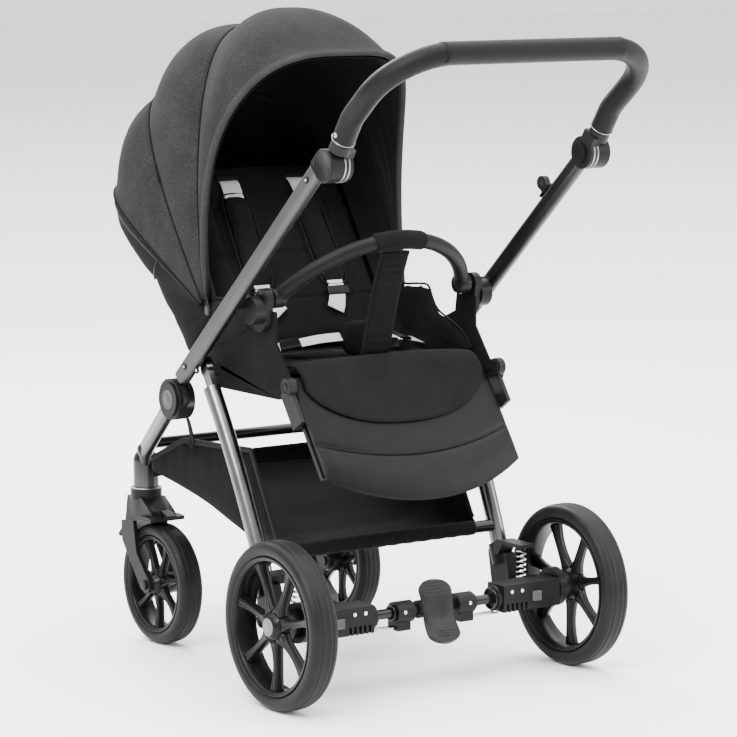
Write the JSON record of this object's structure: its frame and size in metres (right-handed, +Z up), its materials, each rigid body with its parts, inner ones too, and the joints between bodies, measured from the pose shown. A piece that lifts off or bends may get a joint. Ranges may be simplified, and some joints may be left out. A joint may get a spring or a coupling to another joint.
{
  "type": "baby stroller",
  "caption": "Full-size folding baby stroller with tilting handle, swivel front wheels, sprung rear wheels, reclining seat with canopy, footrest, bumper bar and basket.",
  "frame": {"origin": "centre of the whole stroller's box, at the floor", "axes": "+Z up, -Y towards the handle, +Y towards the swivel wheels, X across the wheels"},
  "size_m": [0.599, 0.9798, 1.0488],
  "materials": {
    "gunmetal_tube": "satin anthracite",
    "leg_silver": "satin",
    "axle_black": "gloss black",
    "plastic_black": "fine texture",
    "plastic_grey": "satin",
    "joint_silver": "satin",
    "spring_steel": "bright",
    "tyre_black": "soft polyurethane",
    "rim_black": "satin",
    "grip_leather": "fine grain",
    "fabric_black": "matte woven",
    "fabric_grey": "melange woven",
    "leather_apron": "smooth leatherette"
  },
  "bodies": {
    "rear_chassis": {"rear_leg_left": "leg_silver", "rear_leg_right": "leg_silver", "axle_tube": "axle_black", "axle_housing_left": "plastic_black", "axle_housing_right": "plastic_black", "rear_cross_tube": "axle_black", "brake_linkage": "plastic_black", "basket": "fabric_black"},
    "upper_frame": {"side_tube_left": "gunmetal_tube", "side_tube_right": "gunmetal_tube", "hub_shells": "plastic_black", "leg_brackets": "plastic_black", "seat_sockets": "plastic_black", "handle_knuckles": "plastic_black", "accessory_bracket": "plastic_black"},
    "handle": {"handle_tube": "joint_silver", "handle_grip": "grip_leather", "handle_joints": "joint_silver"},
    "handle_button_left": {"handle_button_left": "plastic_black"},
    "handle_button_right": {"handle_button_right": "plastic_black"},
    "front_frame": {"front_tube_left": "gunmetal_tube", "front_tube_right": "gunmetal_tube", "front_cross_tube": "axle_black"},
    "caster_left": {"caster_fork_left": "plastic_black"},
    "caster_right": {"caster_fork_right": "plastic_black"},
    "swivel_lever_left": {"swivel_lever_left": "plastic_black"},
    "swivel_lever_right": {"swivel_lever_right": "plastic_black"},
    "front_wheel_left": {"front_tyre_left": "tyre_black", "front_rim_left": "rim_black"},
    "front_wheel_right": {"front_tyre_right": "tyre_black", "front_rim_right": "rim_black"},
    "rear_wheel_left": {"rear_tyre_left": "tyre_black", "rear_rim_left": "rim_black"},
    "rear_wheel_right": {"rear_tyre_right": "tyre_black", "rear_rim_right": "rim_black"},
    "suspension_left": {"suspension_arm_left": "plastic_black", "spring_left": "spring_steel"},
    "suspension_right": {"suspension_arm_right": "plastic_black", "spring_right": "spring_steel"},
    "wheel_release_left": {"wheel_release_left": "plastic_grey"},
    "wheel_release_right": {"wheel_release_right": "plastic_grey"},
    "brake_pedal": {"brake_pedal": "plastic_black"},
    "seat": {"seat_shell": "plastic_black", "seat_cover": "fabric_black", "seat_adapters": "plastic_black", "crotch_strap": "fabric_black", "harness_buckle": "plastic_black"},
    "buckle_button": {"buckle_button": "plastic_black"},
    "backrest": {"backrest_shell": "plastic_black", "backrest_pad": "fabric_black", "shoulder_harness": "fabric_black", "rear_cover": "fabric_black", "canopy_rear": "fabric_grey"},
    "canopy_middle": {"canopy_mid_bow": "plastic_black", "canopy_mid": "fabric_grey"},
    "canopy_visor": {"canopy_front_bow": "plastic_black", "canopy_front": "fabric_grey"},
    "bumper": {"bumper_bar": "grip_leather"},
    "footrest": {"footrest_board": "plastic_black", "apron": "leather_apron"}
  },
  "joints": [
    {"name": "frame_fold", "type": "hinge", "parent": "rear_chassis", "child": "upper_frame", "pos_m": [0, 0.067, 0.487], "axis": [1, 0, 0], "range_deg": [0, 64], "deforming": ["basket"]},
    {"name": "front_fold", "type": "hinge", "parent": "upper_frame", "child": "front_frame", "pos_m": [0, 0.132, 0.434], "axis": [-1, 0, 0], "range_deg": [0, 106.5]},
    {"name": "seat_lift", "type": "slide", "parent": "rear_chassis", "child": "seat", "axis": [0, 0, 1], "range_m": [0, 0.565]},
    {"name": "handle_tilt", "type": "hinge", "parent": "upper_frame", "child": "handle", "pos_m": [0, -0.305, 0.83], "axis": [1, 0, 0], "range_deg": [-30, 70]},
    {"name": "handle_button_left_press", "type": "slide", "parent": "handle", "child": "handle_button_left", "axis": [-1, 0, 0], "range_m": [0, 0.003], "stiffness_N_per_m": 600, "springref_m": -0.001},
    {"name": "caster_left_swivel", "type": "hinge", "parent": "front_frame", "child": "caster_left", "pos_m": [-0.1775, 0.351, 0.254], "axis": [0, 0, 1], "continuous": true},
    {"name": "swivel_lever_left_turn", "type": "hinge", "parent": "caster_left", "child": "swivel_lever_left", "pos_m": [-0.1775, 0.29, 0.22], "axis": [-1, 0, 0], "range_deg": [0, 25]},
    {"name": "front_wheel_left_spin", "type": "hinge", "parent": "caster_left", "child": "front_wheel_left", "pos_m": [-0.1775, 0.302, 0.1], "axis": [1, 0, 0], "continuous": true},
    {"name": "suspension_left_travel", "type": "hinge", "parent": "rear_chassis", "child": "suspension_left", "pos_m": [-0.24, -0.11, 0.118], "axis": [-1, 0, 0], "range_deg": [0, 5], "stiffness_Nm_per_rad": 60, "springref_deg": -8.59, "deforming": ["spring_left"]},
    {"name": "rear_wheel_left_spin", "type": "hinge", "parent": "suspension_left", "child": "rear_wheel_left", "pos_m": [-0.276, -0.21, 0.13], "axis": [1, 0, 0], "continuous": true},
    {"name": "wheel_release_left_press", "type": "slide", "parent": "rear_chassis", "child": "wheel_release_left", "axis": [0, 1, 0], "range_m": [0, 0.003], "stiffness_N_per_m": 600, "springref_m": -0.001},
    {"name": "handle_button_right_press", "type": "slide", "parent": "handle", "child": "handle_button_right", "axis": [1, 0, 0], "range_m": [0, 0.003], "stiffness_N_per_m": 600, "springref_m": -0.001},
    {"name": "caster_right_swivel", "type": "hinge", "parent": "front_frame", "child": "caster_right", "pos_m": [0.1775, 0.351, 0.254], "axis": [0, 0, 1], "continuous": true},
    {"name": "swivel_lever_right_turn", "type": "hinge", "parent": "caster_right", "child": "swivel_lever_right", "pos_m": [0.1775, 0.29, 0.22], "axis": [-1, 0, 0], "range_deg": [0, 25]},
    {"name": "front_wheel_right_spin", "type": "hinge", "parent": "caster_right", "child": "front_wheel_right", "pos_m": [0.1775, 0.302, 0.1], "axis": [1, 0, 0], "continuous": true},
    {"name": "suspension_right_travel", "type": "hinge", "parent": "rear_chassis", "child": "suspension_right", "pos_m": [0.24, -0.11, 0.118], "axis": [-1, 0, 0], "range_deg": [0, 5], "stiffness_Nm_per_rad": 60, "springref_deg": -8.59, "deforming": ["spring_right"]},
    {"name": "rear_wheel_right_spin", "type": "hinge", "parent": "suspension_right", "child": "rear_wheel_right", "pos_m": [0.276, -0.21, 0.13], "axis": [1, 0, 0], "continuous": true},
    {"name": "wheel_release_right_press", "type": "slide", "parent": "rear_chassis", "child": "wheel_release_right", "axis": [0, 1, 0], "range_m": [0, 0.003], "stiffness_N_per_m": 600, "springref_m": -0.001},
    {"name": "brake_pedal_rock", "type": "hinge", "parent": "rear_chassis", "child": "brake_pedal", "pos_m": [0, -0.217, 0.126], "axis": [1, 0, 0], "range_deg": [0, 12]},
    {"name": "buckle_button_press", "type": "slide", "parent": "seat", "child": "buckle_button", "axis": [0, 1, 0], "range_m": [0, 0.003], "stiffness_N_per_m": 500, "springref_m": -0.001},
    {"name": "backrest_recline", "type": "hinge", "parent": "seat", "child": "backrest", "pos_m": [0, 0.112, 0.492], "axis": [-1, 0, 0], "range_deg": [0, 35]},
    {"name": "canopy_fold", "type": "hinge", "parent": "backrest", "child": "canopy_middle", "pos_m": [0, 0.13, 0.571], "axis": [-1, 0, 0], "range_deg": [0, 20], "deforming": ["canopy_rear"]},
    {"name": "canopy_visor_fold", "type": "hinge", "parent": "canopy_middle", "child": "canopy_visor", "pos_m": [0, 0.13, 0.571], "axis": [-1, 0, 0], "range_deg": [0, 24.2], "deforming": ["canopy_mid"]},
    {"name": "bumper_swing", "type": "hinge", "parent": "seat", "child": "bumper", "pos_m": [0, -0.052, 0.607], "axis": [1, 0, 0], "range_deg": [0, 40], "deforming": ["crotch_strap"]},
    {"name": "footrest_raise", "type": "hinge", "parent": "seat", "child": "footrest", "pos_m": [0, -0.12, 0.478], "axis": [-1, 0, 0], "range_deg": [0, 50]}
  ],
  "couplings": [
    {"joint": "front_fold", "follows": "frame_fold", "ratio": 1.6562},
    {"joint": "seat_lift", "follows": "frame_fold", "m_per_rad": 0.50134},
    {"joint": "canopy_visor_fold", "follows": "canopy_fold", "ratio": 1.2}
  ]
}
